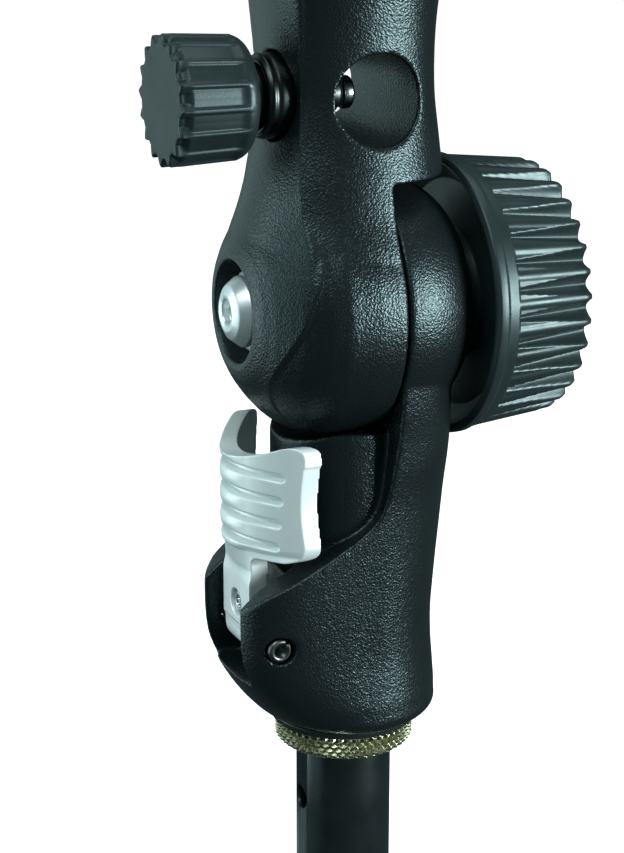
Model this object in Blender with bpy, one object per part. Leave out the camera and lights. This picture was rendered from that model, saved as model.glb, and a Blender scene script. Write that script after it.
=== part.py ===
"""Tilt head with a quick cam clamp for a 16 mm stand tube.

Frame: metres, +Z up along the tube, X along the tilt axis with the large tilt
knob at +X, -Y at the front. z = 0 is the underside of the knurled ring.
"""

import math

import bmesh
import bpy
from mathutils import Matrix, Vector

MM = 0.001

# stand tube and knurled ring
TUBE_R = 8.0 * MM
TUBE_BORE_R = 6.6 * MM
TUBE_BOTTOM = -36.0 * MM
TUBE_TOP = 38.6 * MM
TUBE_HOLE_R = 2.2 * MM
TUBE_HOLE_Z = -10.6 * MM
RING_R = 11.7 * MM
RING_BORE_R = 8.35 * MM
RING_TOP = 3.5 * MM

# lower body
SOCKET_R = 9.5 * MM
SOCKET_TOP = 40.0 * MM
BODY_BOTTOM = 5.6 * MM
WEB_R = 12.2 * MM
WEB_TOP = 56.0 * MM
PARTING_X = 1.6 * MM
PARTING_GAP = 0.4 * MM
CHEEK_R = 20.5 * MM
CHEEK_FACE_X = 15.6 * MM

# tilt joint
TILT_Z = 74.7 * MM
LOBE_R = 20.8 * MM
LOBE_END_X = -19.4 * MM
BOLT_R = 3.0 * MM
BOLT_BORE_R = 3.35 * MM
BOLT_HEAD_R = 4.9 * MM
RECESS_R = 8.0 * MM
RECESS_FLOOR_X = -14.2 * MM
DISC_R = 12.7 * MM
DISC_POCKET_R = 13.1 * MM
DISC_IN_X = 0.2 * MM
DISC_OUT_X = 2.9 * MM

# cam lever
PIN_X = -16.5 * MM
PIN_Z = 21.9 * MM
PIN_R = 2.0 * MM
PIN_BORE_R = 2.35 * MM
SLOT_HALF = 7.6 * MM
LEVER_SPINE_X = -20.9 * MM
LEVER_THICK = 3.0 * MM
LEVER_HALF = 14.0 * MM
STEM_HALF = 5.7 * MM
LEVER_TOP = 57.0 * MM
LEVER_SCOOP = 6.0 * MM
DISH = 46.0
TENSION_Z = 26.4 * MM

# arm
HOLE_R = 6.9 * MM
HOLE_Z = 108.0 * MM
ARM_TOP = 134.0 * MM
SHOULDER_Z = 95.6 * MM

# clamp screw and knobs
SCREW_R = 2.9 * MM
SCREW_END_X = -1.5 * MM
SCREW_BORE_R = 3.3 * MM
COUNTERBORE_R = 6.9 * MM
BUSH_POCKET_R = 4.3 * MM
SMALL_KNOB_R = 10.0 * MM
SMALL_KNOB_IN_X = -17.4 * MM
SMALL_KNOB_OUT_X = -30.6 * MM
SMALL_KNOB_TEETH = 16
BIG_KNOB_IN_X = 15.3 * MM
BIG_KNOB_OUT_X = 33.8 * MM
FLANGE_R = 22.9 * MM
BIG_KNOB_RIBS = 32

# accessory shoe
SHOE_HALF_X = 10.9 * MM
SHOE_HALF_Y = 10.2 * MM
SHOE_SHEET = 1.2 * MM
SHOE_SLOT_HALF = 9.35 * MM
SHOE_MOUTH_HALF = 6.4 * MM
SHOE_SLOT_H = 2.3 * MM


def clear_scene():
    for obj in list(bpy.data.objects):
        bpy.data.objects.remove(obj, do_unlink=True)


def new_collection(name):
    coll = bpy.data.collections.new(name)
    bpy.context.scene.collection.children.link(coll)
    return coll


def make_material(name, colour, roughness, metallic):
    mat = bpy.data.materials.new(name)
    mat.use_nodes = True
    shader = mat.node_tree.nodes["Principled BSDF"]
    shader.inputs["Base Color"].default_value = (*colour, 1.0)
    shader.inputs["Roughness"].default_value = roughness
    shader.inputs["Metallic"].default_value = metallic
    mat.diffuse_color = (*colour, 1.0)
    mat.roughness = roughness
    mat.metallic = metallic
    return mat


clear_scene()
PARTS = new_collection("pipe_clamp")
CUTTERS = new_collection("cutters")

PAINT = ((0.018, 0.022, 0.023), 0.42, 0.0)
PLASTIC = ((0.040, 0.052, 0.054), 0.45, 0.0)
DARK_PLASTIC = ((0.015, 0.015, 0.016), 0.55, 0.0)
NICKEL = ((0.62, 0.65, 0.65), 0.32, 1.0)
STEEL = ((0.60, 0.61, 0.62), 0.25, 1.0)
BRASS = ((0.72, 0.62, 0.40), 0.34, 1.0)
FIBRE = ((0.16, 0.07, 0.04), 0.85, 0.0)
TUBE_BLACK = ((0.012, 0.013, 0.014), 0.35, 0.4)


def finish_mesh(bm, name, coll, look=None, origin=None, smooth=False):
    """Turns a bmesh in world coordinates into an object, its origin at a point."""
    bmesh.ops.recalc_face_normals(bm, faces=bm.faces[:])
    mesh = bpy.data.meshes.new(name)
    bm.to_mesh(mesh)
    bm.free()
    obj = bpy.data.objects.new(name, mesh)
    coll.objects.link(obj)
    if origin is not None:
        mesh.transform(Matrix.Translation(-Vector(origin)))
        obj.location = origin
    if look is not None:
        mesh.materials.append(make_material(name + "_finish", *look))
    if smooth:
        for poly in mesh.polygons:
            poly.use_smooth = True
    if coll is CUTTERS:
        obj.hide_render = True
        obj.display_type = "WIRE"
    return obj


def frame_for(axis):
    """Unit vectors (along, first, second) of a right-handed frame."""
    if axis == "X":
        return Vector((1, 0, 0)), Vector((0, 1, 0)), Vector((0, 0, 1))
    if axis == "Y":
        return Vector((0, 1, 0)), Vector((0, 0, 1)), Vector((1, 0, 0))
    return Vector((0, 0, 1)), Vector((1, 0, 0)), Vector((0, 1, 0))


def turned_mesh(profile, axis, centre, steps, closed=False, wave=None):
    """Rings of a profile [(along, radius)] about an axis through a centre point.

    wave(angle, along, radius) may return another radius, for teeth and ribs.
    """
    along, first, second = frame_for(axis)
    centre = Vector(centre)
    bm = bmesh.new()
    rings = []
    for position, radius in profile:
        if radius <= 1e-9:
            rings.append([bm.verts.new(centre + along * position)])
            continue
        ring = []
        for i in range(steps):
            angle = 2.0 * math.pi * i / steps
            r = radius if wave is None else wave(angle, position, radius)
            offset = first * (r * math.cos(angle)) + second * (r * math.sin(angle))
            ring.append(bm.verts.new(centre + along * position + offset))
        rings.append(ring)
    pairs = list(zip(rings[:-1], rings[1:]))
    if closed:
        pairs.append((rings[-1], rings[0]))
    for low, high in pairs:
        for i in range(steps):
            j = (i + 1) % steps
            if len(low) == 1 and len(high) == 1:
                break
            if len(low) == 1:
                bm.faces.new((low[0], high[i], high[j]))
            elif len(high) == 1:
                bm.faces.new((low[i], low[j], high[0]))
            else:
                bm.faces.new((low[i], low[j], high[j], high[i]))
    return bm


def turned(name, profile, axis, centre, steps, look=None, coll=None, **more):
    origin = more.pop("origin", None)
    smooth = more.pop("smooth", False)
    bm = turned_mesh(profile, axis, centre, steps, **more)
    return finish_mesh(bm, name, coll or PARTS, look, origin, smooth)


def rod(name, axis, centre, start, end, radius, steps=48, coll=None, look=None, origin=None):
    profile = [(start, 0.0), (start, radius), (end, radius), (end, 0.0)]
    return turned(name, profile, axis, centre, steps, look, coll, origin=origin)


def ring_profile(start, end, inner, outer, edge=0.0):
    return [
        (start, inner),
        (start, outer - edge),
        (start + edge, outer),
        (end - edge, outer),
        (end, outer - edge),
        (end, inner),
    ]


def collar(name, axis, centre, start, end, inner, outer, edge=0.2 * MM, steps=32, **more):
    profile = ring_profile(start, end, inner, outer, edge)
    return turned(name, profile, axis, centre, steps, closed=True, **more)


def box(name, low, high, coll=None, look=None, origin=None):
    bm = bmesh.new()
    bmesh.ops.create_cube(bm, size=1.0)
    size = Vector(high) - Vector(low)
    middle = (Vector(high) + Vector(low)) * 0.5
    for vert in bm.verts:
        vert.co = Vector((vert.co.x * size.x, vert.co.y * size.y, vert.co.z * size.z)) + middle
    return finish_mesh(bm, name, coll or CUTTERS, look, origin)


def loft_mesh(sections):
    """Joins closed sections with the same number of points, and caps both ends."""
    bm = bmesh.new()
    rings = [[bm.verts.new(point) for point in section] for section in sections]
    count = len(rings[0])
    for low, high in zip(rings[:-1], rings[1:]):
        for i in range(count):
            j = (i + 1) % count
            bm.faces.new((low[i], low[j], high[j], high[i]))
    bm.faces.new(list(reversed(rings[0])))
    bm.faces.new(rings[-1])
    return bm


def prism(name, outline, axis, start, end, coll=None, look=None, origin=None):
    """Extrudes an outline [(a, b)] along an axis: XZ pairs for Y, YZ for X, XY for Z."""
    sections = []
    for level in (start, end):
        if axis == "Y":
            sections.append([(a, level, b) for a, b in outline])
        elif axis == "X":
            sections.append([(level, a, b) for a, b in outline])
        else:
            sections.append([(a, b, level) for a, b in outline])
    return finish_mesh(loft_mesh(sections), name, coll or CUTTERS, look, origin)


def boolean(target, other, operation):
    mod = target.modifiers.new(operation.lower() + "_" + other.name, "BOOLEAN")
    mod.operation = operation
    mod.solver = "EXACT"
    mod.object = other
    return mod


def cut(target, *others):
    for other in others:
        boolean(target, other, "DIFFERENCE")


def add(target, *others):
    for other in others:
        boolean(target, other, "UNION")


def blend(table, value):
    """Smooth interpolation in a table [(position, a, b, ...)]."""
    if value <= table[0][0]:
        return list(table[0][1:])
    if value >= table[-1][0]:
        return list(table[-1][1:])
    count = len(table)
    for i in range(count - 1):
        if table[i][0] <= value <= table[i + 1][0]:
            break
    before = table[max(i - 1, 0)]
    here = table[i]
    after = table[i + 1]
    later = table[min(i + 2, count - 1)]
    step = after[0] - here[0]
    t = (value - here[0]) / step
    out = []
    for k in range(1, len(here)):
        slope_here = 0.0
        if after[0] != before[0]:
            slope_here = (after[k] - before[k]) / (after[0] - before[0]) * step
        slope_after = 0.0
        if later[0] != here[0]:
            slope_after = (later[k] - here[k]) / (later[0] - here[0]) * step
        h00 = 2 * t ** 3 - 3 * t ** 2 + 1
        h10 = t ** 3 - 2 * t ** 2 + t
        h01 = -2 * t ** 3 + 3 * t ** 2
        h11 = t ** 3 - t ** 2
        out.append(h00 * here[k] + h10 * slope_here + h01 * after[k] + h11 * slope_after)
    return out


def oval(z, left, right, depth, power_left, power_right, steps=48):
    """A plan section whose left and right halves are superellipses."""
    points = []
    for i in range(steps):
        angle = 2.0 * math.pi * i / steps
        c = math.cos(angle)
        s = math.sin(angle)
        power = power_right if c >= 0 else power_left
        reach = right if c >= 0 else left
        x = reach * math.copysign(abs(c) ** (2.0 / power), c)
        y = depth * math.copysign(abs(s) ** (2.0 / power), s)
        points.append((x, y, z))
    return points


def stack(name, table, levels, coll, look=None, origin=None, steps=48):
    sections = []
    for z in levels:
        left, right, depth, n_left, n_right = blend(table, z)
        sections.append(
            oval(z * MM, left * MM, right * MM, depth * MM, n_left, n_right, steps)
        )
    return finish_mesh(loft_mesh(sections), name, coll, look, origin)


ORIGIN = Vector((0.0, 0.0, 0.0))
TILT = Vector((0.0, 0.0, TILT_Z))
PIN = Vector((PIN_X, 0.0, PIN_Z))
SCREW_AXIS = Vector((0.0, 0.0, HOLE_Z))

# ---------------------------------------------------------------- stand tube
tube = turned(
    "stand_tube",
    ring_profile(TUBE_BOTTOM, TUBE_TOP, TUBE_BORE_R, TUBE_R, 0.5 * MM),
    "Z",
    ORIGIN,
    48,
    TUBE_BLACK,
    closed=True,
)
cut(tube, rod("tube_hole_cut", "X", (0, 0, TUBE_HOLE_Z), -0.012, 0.0, TUBE_HOLE_R, 32, CUTTERS))


knurled_ring = turned(
    "knurled_ring",
    [
        (0.0, RING_BORE_R),
        (0.0, RING_R - 0.5 * MM),
        (0.4 * MM, RING_R),
        (RING_TOP - 0.4 * MM, RING_R),
        (RING_TOP, RING_R - 0.5 * MM),
        (RING_TOP, RING_BORE_R),
    ],
    "Z",
    ORIGIN,
    48,
    BRASS,
    closed=True,
)

# ---------------------------------------------------------------- lower body
# position z, then left reach, right reach, half depth, left power, right power (mm)
BODY_TABLE = [
    (5.6, 11.3, 14.0, 13.8, 2.0, 2.0),
    (6.4, 12.4, 14.9, 14.6, 2.1, 2.0),
    (9.0, 14.9, 15.2, 14.9, 2.4, 2.0),
    (13.0, 18.0, 15.0, 14.6, 2.9, 2.0),
    (18.0, 21.2, 14.6, 14.2, 3.4, 2.0),
    (23.0, 22.4, 14.5, 14.1, 3.7, 2.0),
    (28.0, 22.5, 14.6, 14.1, 3.8, 2.0),
    (38.0, 22.5, 15.0, 14.4, 3.8, 2.0),
    (46.0, 22.5, 15.3, 15.0, 3.6, 2.2),
    (51.0, 22.5, 14.9, 15.8, 3.3, 2.6),
    (54.6, 22.5, 14.8, 16.3, 3.2, 2.8),
    (60.0, 22.5, 14.7, 17.4, 3.0, 2.8),
    (66.5, 22.5, 14.6, 18.2, 3.0, 2.8),
]
BODY_LEVELS = [5.6, 6.0, 6.4, 7.5, 9.0, 11.5, 14.5, 18.0, 21.5, 25.0, 29.0, 34.0, 40.0,
               46.0, 51.0, 56.0, 61.0, 66.5]
lower_body = stack("lower_body", BODY_TABLE, BODY_LEVELS, PARTS, PAINT)

# everything above the cheeks' edge line and left of the parting plane goes
EDGE_LINE = [
    (-40.0, 29.0),
    (-22.4, 29.2),
    (-20.6, 31.0),
    (-18.2, 32.6),
    (-13.3, 35.0),
    (-9.5, 36.7),
    (-6.5, 38.5),
    (-3.5, 40.1),
    (-1.2, 41.8),
    (0.3, 43.9),
    (1.1, 46.6),
    (1.5, 50.0),
    (PARTING_X / MM + 0.5, 55.0),
    (PARTING_X / MM + 0.5, 90.0),
    (-40.0, 90.0),
]
edge_cut = prism(
    "edge_cut",
    [(a * MM, b * MM) for a, b in EDGE_LINE],
    "Y",
    -30 * MM,
    30 * MM,
)
web = rod("web_add", "Z", ORIGIN, 20.0 * MM, WEB_TOP, WEB_R, 48, CUTTERS)
cheek = turned(
    "cheek_add",
    [
        (PARTING_X + 0.1 * MM, 0.0),
        (PARTING_X + 0.1 * MM, CHEEK_R - 0.3 * MM),
        (PARTING_X + 0.5 * MM, CHEEK_R),
        (3.6 * MM, CHEEK_R - 0.02 * MM),
        (6.3 * MM, CHEEK_R - 0.27 * MM),
        (9.3 * MM, CHEEK_R - 1.07 * MM),
        (11.9 * MM, CHEEK_R - 2.34 * MM),
        (13.9 * MM, CHEEK_R - 4.0 * MM),
        (15.2 * MM, CHEEK_R - 5.93 * MM),
        (CHEEK_FACE_X, CHEEK_R - 7.6 * MM),
        (CHEEK_FACE_X, 0.0),
    ],
    "X",
    TILT,
    48,
    coll=CUTTERS,
)
LOBE_PROFILE = [
    (1.4, 0.0),
    (1.4, 20.4),
    (1.0, 20.8),
    (-4.0, 20.8),
    (-9.5, 20.75),
    (-12.4, 20.2),
    (-14.0, 19.2),
    (-15.8, 16.8),
    (-17.5, 13.8),
    (-18.7, 11.2),
    (-19.4, 9.0),
    (-19.4, 0.0),
]
saddle_profile = [
    (PARTING_X + 0.2 * MM, 0.0),
    (PARTING_X + 0.2 * MM, 21.4 * MM),
    (-9.0 * MM, 21.3 * MM),
    (-12.0 * MM, 20.6 * MM),
    (-15.0 * MM, 18.6 * MM),
    (-30.0 * MM, 8.0 * MM),
    (-30.0 * MM, 0.0),
]
saddle_cut = turned("saddle_cut", saddle_profile, "X", TILT, 48, coll=CUTTERS)
slot_cut = prism(
    "slot_cut",
    [(a * MM, b * MM) for a, b in (
        (-40.0, 13.0), (-24.0, 15.5), (-16.5, 14.2), (-12.4, 16.0), (-11.9, 18.0),
        (-11.9, 33.0), (-12.2, 45.0), (-40.0, 45.0),
    )],
    "Y",
    -SLOT_HALF,
    SLOT_HALF,
)
window_cut = box("window_cut", (-13 * MM, -5.6 * MM, 13.0 * MM), (-7 * MM, 5.6 * MM, 31.0 * MM))
socket_cut = rod("socket_cut", "Z", ORIGIN, -5 * MM, SOCKET_TOP, SOCKET_R, 48, CUTTERS)
pin_cut = rod("pin_cut", "Y", PIN, -30 * MM, 30 * MM, 2.3 * MM, 32, CUTTERS)
bolt_cut = turned(
    "bolt_cut_body",
    [
        (0.0, 0.0),
        (0.0, DISC_POCKET_R),
        (DISC_OUT_X, DISC_POCKET_R),
        (DISC_OUT_X, BOLT_BORE_R),
        (30.0 * MM, BOLT_BORE_R),
        (30.0 * MM, 0.0),
    ],
    "X",
    TILT,
    48,
    coll=CUTTERS,
)
cut(lower_body, edge_cut)
add(lower_body, web)
cut(lower_body, saddle_cut)
add(lower_body, cheek)
cut(lower_body, slot_cut, window_cut, socket_cut, pin_cut, bolt_cut)

collar_bush = turned(
    "socket_collar",
    [
        (3.9 * MM, 8.35 * MM),
        (3.9 * MM, 12.2 * MM),
        (4.2 * MM, 12.5 * MM),
        (5.2 * MM, 12.5 * MM),
        (5.2 * MM, 9.15 * MM),
        (10.8 * MM, 9.15 * MM),
        (10.8 * MM, 8.35 * MM),
    ],
    "Z",
    ORIGIN,
    48,
    DARK_PLASTIC,
    closed=True,
)
upper_bush = collar(
    "socket_upper_bush", "Z", ORIGIN, 33.2 * MM, 39.6 * MM, 8.35 * MM, 9.15 * MM, steps=48,
    look=DARK_PLASTIC,
)
friction_disc = collar(
    "friction_disc", "X", TILT, 0.5 * MM, 2.6 * MM, 3.7 * MM, DISC_R, look=FIBRE,
)
lever_pin = turned(
    "lever_pin",
    [
        (-12.4 * MM, 0.0),
        (-12.4 * MM, 1.6 * MM),
        (-12.0 * MM, PIN_R),
        (12.0 * MM, PIN_R),
        (12.4 * MM, 1.6 * MM),
        (12.4 * MM, 0.0),
    ],
    "Y",
    PIN,
    32,
    STEEL,
    origin=PIN,
)

# ---------------------------------------------------------------- brake shoe
brake_shoe = box(
    "brake_shoe",
    (-11.7 * MM, -5.1 * MM, 13.5 * MM),
    (-6.0 * MM, 5.1 * MM, 30.5 * MM),
    PARTS,
    NICKEL,
)
cut(brake_shoe, rod("shoe_bore_cut", "Z", ORIGIN, 5 * MM, 40 * MM, 9.1 * MM, 48, CUTTERS))


def shoe_lining_mesh():
    sections = []
    for z in (14.0 * MM, 30.0 * MM):
        points = []
        half = math.radians(31.0)
        for i in range(13):
            a = math.pi - half + 2.0 * half * i / 12
            points.append((8.8 * MM * math.cos(a), 8.8 * MM * math.sin(a), z))
        for i in range(13):
            a = math.pi + half - 2.0 * half * i / 12
            points.append((8.3 * MM * math.cos(a), 8.3 * MM * math.sin(a), z))
        sections.append(points)
    return loft_mesh(sections)


shoe_lining = finish_mesh(shoe_lining_mesh(), "shoe_lining", PARTS, DARK_PLASTIC)


# ---------------------------------------------------------------- cam lever
def lever_half(z):
    """Half width of the lever blade at a height, in mm."""
    low = 36.4
    stem = STEM_HALF / MM
    full = LEVER_HALF / MM
    if z <= low - 2.0:
        return stem
    if z < low:
        t = (z - low + 2.0) / 2.0
        return stem + 1.6 * (1.0 - math.sqrt(max(1.0 - t * t, 0.0)))
    corner = 3.0
    if z < low + corner:
        t = (z - low) / corner
        return full - corner + corner * math.sqrt(max(1.0 - (1.0 - t) ** 2, 0.0))
    waist = math.sin(math.pi * min(max((z - 39.4) / 14.0, 0.0), 1.0))
    return full - 0.6 * waist


def lever_mesh():
    """The blade: a dished plate, closed all round."""
    rows = []
    levels = [24.0, 28.0, 32.0, 34.4, 35.2, 35.9, 36.38, 36.42, 36.7, 37.2, 38.0, 39.4]
    levels += [39.4 + k * 1.35 for k in range(1, 9)]
    for z in levels:
        rows.append((z, lever_half(z)))
    columns = 14
    bm = bmesh.new()
    outer = []
    inner = []
    top_start = rows[-1][0]
    for z, half in rows + [(None, 0.85), (None, 1.0)]:
        out_row = []
        in_row = []
        for i in range(columns + 1):
            s = -1.0 + 2.0 * i / columns
            if z is None:
                y = s * LEVER_HALF / MM if half < 1.0 else s * (LEVER_HALF / MM - 0.3)
                rim = LEVER_TOP / MM - LEVER_SCOOP / MM * (1.0 - abs(s) ** 2.2)
                if abs(s) > 0.9:
                    rim -= 1.2 * ((abs(s) - 0.9) / 0.1) ** 2
                level = top_start + (rim - top_start) * (0.6 if half < 1.0 else 1.0)
            else:
                y = s * half
                level = z
            x = LEVER_SPINE_X / MM + DISH * 0.001 * y * y
            slope = 2.0 * DISH * 0.001 * y
            scale = 1.0 / math.sqrt(1.0 + slope * slope)
            thick = LEVER_THICK / MM
            out_row.append(bm.verts.new((x * MM, y * MM, level * MM)))
            in_row.append(
                bm.verts.new(
                    ((x + thick * scale) * MM, (y - thick * slope * scale) * MM, level * MM)
                )
            )
        outer.append(out_row)
        inner.append(in_row)
    count = len(outer)
    for r in range(count - 1):
        for i in range(columns):
            bm.faces.new((outer[r][i], outer[r + 1][i], outer[r + 1][i + 1], outer[r][i + 1]))
            bm.faces.new((inner[r][i], inner[r][i + 1], inner[r + 1][i + 1], inner[r + 1][i]))
        for i in (0, columns):
            quad = (outer[r][i], outer[r + 1][i], inner[r + 1][i], inner[r][i])
            bm.faces.new(quad)
    for r in (0, count - 1):
        for i in range(columns):
            bm.faces.new((outer[r][i], outer[r][i + 1], inner[r][i + 1], inner[r][i]))
    return bm


cam_lever = finish_mesh(lever_mesh(), "cam_lever", PARTS, NICKEL, origin=PIN)
lever_boss = prism(
    "lever_boss_add",
    [(a * MM, b * MM) for a, b in (
        (-20.7, 20.8), (-19.9, 19.4), (-18.4, 18.4), (-16.5, 18.2), (-15.0, 18.4),
        (-13.6, 19.1), (-12.5, 20.3), (-12.0, 21.9), (-12.2, 23.6), (-13.4, 25.6), (-15.2, 27.4),
        (-16.8, 30.0), (-17.6, 34.0), (-19.4, 34.0), (-20.8, 31.0),
    )],
    "Y",
    -STEM_HALF,
    STEM_HALF,
)
lever_bore = rod("lever_bore_cut", "Y", PIN, -12 * MM, 12 * MM, PIN_BORE_R, 32, CUTTERS)
screw_seat = rod(
    "tension_seat_cut", "X", (0, 0, TENSION_Z), -30 * MM, -18.3 * MM, 2.3 * MM, 32, CUTTERS
)
add(cam_lever, lever_boss)
cut(cam_lever, lever_bore, screw_seat)
tension_screw = turned(
    "tension_screw",
    [
        (-20.2 * MM, 0.0),
        (-20.2 * MM, 1.7 * MM),
        (-19.9 * MM, 1.95 * MM),
        (-18.8 * MM, 1.95 * MM),
        (-18.6 * MM, 1.75 * MM),
        (-18.6 * MM, 0.0),
    ],
    "X",
    (0, 0, TENSION_Z),
    32,
    STEEL,
    origin=Vector((0, 0, TENSION_Z)),
)

# ---------------------------------------------------------------- tilt arm
ARM_TABLE = [
    (76.0, 15.6, 13.0, 19.6, 2.6, 2.2),
    (80.0, 15.8, 13.2, 19.0, 2.6, 2.2),
    (84.8, 15.9, 13.8, 17.9, 2.7, 2.2),
    (90.0, 15.2, 14.4, 16.2, 2.9, 2.2),
    (96.7, 13.6, 14.6, 14.8, 3.0, 2.2),
    (102.0, 12.5, 14.0, 13.8, 3.0, 2.3),
    (108.3, 11.9, 13.3, 13.1, 3.0, 2.4),
    (113.0, 12.4, 13.2, 12.9, 3.0, 2.4),
    (122.0, 13.3, 13.7, 13.4, 3.0, 2.4),
    (129.0, 14.4, 14.5, 14.3, 3.1, 2.7),
    (134.0, 15.0, 15.0, 14.8, 3.4, 3.4),
]
ARM_LEVELS = [76.0, 79.5, 83.0, 87.0, 91.0, 95.0, 99.0, 103.5, 108.0,
              113.0, 118.0, 123.0, 128.0, 131.5, 133.4, 134.0]
# How much deeper the back of the arm is than its front, by height
ARM_BACK_TABLE = [
    (90.0, 1.0),
    (96.0, 1.03),
    (102.0, 1.12),
    (108.0, 1.17),
    (114.0, 1.17),
    (122.0, 1.1),
    (130.0, 1.02),
    (134.0, 1.0),
]
tilt_arm = stack("tilt_arm", ARM_TABLE, ARM_LEVELS, PARTS, PAINT, origin=TILT)
for vertex in tilt_arm.data.vertices:
    if vertex.co.y > 0.0:
        height = (vertex.co.z + TILT_Z) / MM
        vertex.co.y *= blend(ARM_BACK_TABLE, height)[0]
shoulder_cut = box(
    "shoulder_cut", (1.1 * MM, -40 * MM, 60 * MM), (40 * MM, 40 * MM, SHOULDER_Z)
)
lobe = turned(
    "lobe_add", [(a * MM, b * MM) for a, b in LOBE_PROFILE], "X", TILT, 48, coll=CUTTERS
)
arm_bolt_cut = turned(
    "bolt_cut_arm",
    [
        (-40.0 * MM, 0.0),
        (-40.0 * MM, RECESS_R),
        (RECESS_FLOOR_X, RECESS_R),
        (RECESS_FLOOR_X, BOLT_BORE_R),
        (DISC_IN_X, BOLT_BORE_R),
        (DISC_IN_X, DISC_POCKET_R),
        (5.0 * MM, DISC_POCKET_R),
        (5.0 * MM, 0.0),
    ],
    "X",
    TILT,
    48,
    coll=CUTTERS,
)
hole_cut = rod("through_hole_cut", "Y", SCREW_AXIS, -40 * MM, 40 * MM, HOLE_R, 48, CUTTERS)
counter_cut = turned(
    "counterbore_cut",
    [
        (-40.0 * MM, 0.0),
        (-40.0 * MM, COUNTERBORE_R),
        (-10.3 * MM, COUNTERBORE_R),
        (-10.3 * MM, BUSH_POCKET_R),
        (0.0, BUSH_POCKET_R),
        (0.0, 0.0),
    ],
    "X",
    SCREW_AXIS,
    48,
    coll=CUTTERS,
)
SHOE_HOLES = [(-5.2, -6.2), (5.2, -6.2), (-5.2, 6.2), (5.2, 6.2)]
shoe_hole_cuts = []
for index, (hx, hy) in enumerate(SHOE_HOLES, 1):
    shoe_hole_cuts.append(
        rod(f"shoe_hole_cut_{index}", "Z", (hx * MM, hy * MM, 0), 128 * MM, 140 * MM,
            1.4 * MM, 16, CUTTERS)
    )
cut(tilt_arm, shoulder_cut, hole_cut, counter_cut)
cut(tilt_arm, *shoe_hole_cuts)
add(tilt_arm, lobe)
cut(tilt_arm, arm_bolt_cut)

screw_bush = collar(
    "screw_bush", "X", SCREW_AXIS, -10.0 * MM, -6.9 * MM, SCREW_BORE_R, 4.0 * MM,
    steps=32, look=BRASS,
)

# ---------------------------------------------------------------- tilt bolt
tilt_bolt = turned(
    "tilt_bolt",
    [
        (-18.2 * MM, 0.0),
        (-18.4 * MM, 1.9 * MM),
        (-20.1 * MM, 2.2 * MM),
        (-20.3 * MM, 2.9 * MM),
        (-19.7 * MM, 4.0 * MM),
        (-18.8 * MM, 4.6 * MM),
        (-17.7 * MM, BOLT_HEAD_R),
        (-17.2 * MM, BOLT_HEAD_R),
        (-17.2 * MM, BOLT_R),
        (25.4 * MM, BOLT_R),
        (26.0 * MM, 2.4 * MM),
        (26.0 * MM, 0.0),
    ],
    "X",
    TILT,
    48,
    STEEL,
    origin=TILT,
)
spring_washer = collar(
    "spring_washer", "X", TILT, -16.9 * MM, -15.9 * MM, 3.4 * MM, 5.4 * MM, look=STEEL,
)
flat_washer = collar(
    "flat_washer", "X", TILT, -15.6 * MM, -14.5 * MM, 3.4 * MM, 7.3 * MM, look=STEEL,
)
thrust_washer = collar(
    "thrust_washer", "X", TILT, 15.9 * MM, 17.1 * MM, 3.4 * MM, 7.6 * MM, look=STEEL,
    origin=TILT,
)


# ---------------------------------------------------------------- tilt knob
def big_knob_wave(angle, along, radius):
    """Ribs whose wedge grooves deepen towards the outer end."""
    if along < 19.5 * MM or radius < 17.0 * MM:
        return radius
    reach = min((along - 19.4 * MM) / (3.0 * MM), 1.0)
    phase = (angle * BIG_KNOB_RIBS / (2.0 * math.pi)) % 1.0
    groove = 1.0 if phase < 0.01 or phase > 0.99 else 0.0
    return radius - 1.9 * MM * reach * groove


tilt_knob = turned(
    "tilt_knob",
    [
        (17.5 * MM, 5.8 * MM),
        (17.5 * MM, 10.0 * MM),
        (18.8 * MM, 11.0 * MM),
        (18.8 * MM, 18.6 * MM),
        (BIG_KNOB_IN_X, 21.8 * MM),
        (BIG_KNOB_IN_X + 0.5 * MM, FLANGE_R),
        (17.3 * MM, FLANGE_R),
        (17.7 * MM, 22.4 * MM),
        (19.4 * MM, 22.35 * MM),
        (22.4 * MM, 22.1 * MM),
        (33.0 * MM, 20.9 * MM),
        (BIG_KNOB_OUT_X, 19.6 * MM),
        (BIG_KNOB_OUT_X, 15.0 * MM),
        (32.2 * MM, 14.6 * MM),
        (32.2 * MM, 5.8 * MM),
    ],
    "X",
    TILT,
    BIG_KNOB_RIBS * 3,
    PLASTIC,
    closed=True,
    wave=big_knob_wave,
    origin=TILT,
)


def hex_wave(angle, along, radius):
    if radius < 4.5 * MM:
        return radius
    part = (angle + math.pi / 6) % (math.pi / 3) - math.pi / 6
    return radius * math.cos(math.pi / 6) / math.cos(part)


knob_nut = turned(
    "knob_nut",
    ring_profile(18.2 * MM, 30.4 * MM, 3.3 * MM, 5.4 * MM, 0.2 * MM),
    "X",
    TILT,
    48,
    BRASS,
    closed=True,
    wave=hex_wave,
    origin=TILT,
)
knob_cap = turned(
    "knob_cap",
    [
        (32.5 * MM, 0.0),
        (32.5 * MM, 14.1 * MM),
        (33.2 * MM, 14.3 * MM),
        (33.6 * MM, 13.9 * MM),
        (33.8 * MM, 12.6 * MM),
        (33.8 * MM, 0.0),
    ],
    "X",
    TILT,
    64,
    PLASTIC,
    origin=TILT,
)


# ---------------------------------------------------------------- clamp screw and knob
def small_knob_wave(angle, along, radius):
    if radius < 8.0 * MM:
        return radius
    phase = (angle * SMALL_KNOB_TEETH / (2.0 * math.pi)) % 1.0
    tooth = 1.0 if abs(phase - 0.5) < 0.01 else 0.0
    reach = min(max((-19.6 * MM - along) / (3.0 * MM), 0.0), 1.0)
    return radius - 1.15 * MM * reach * (1.0 - tooth)


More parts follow.
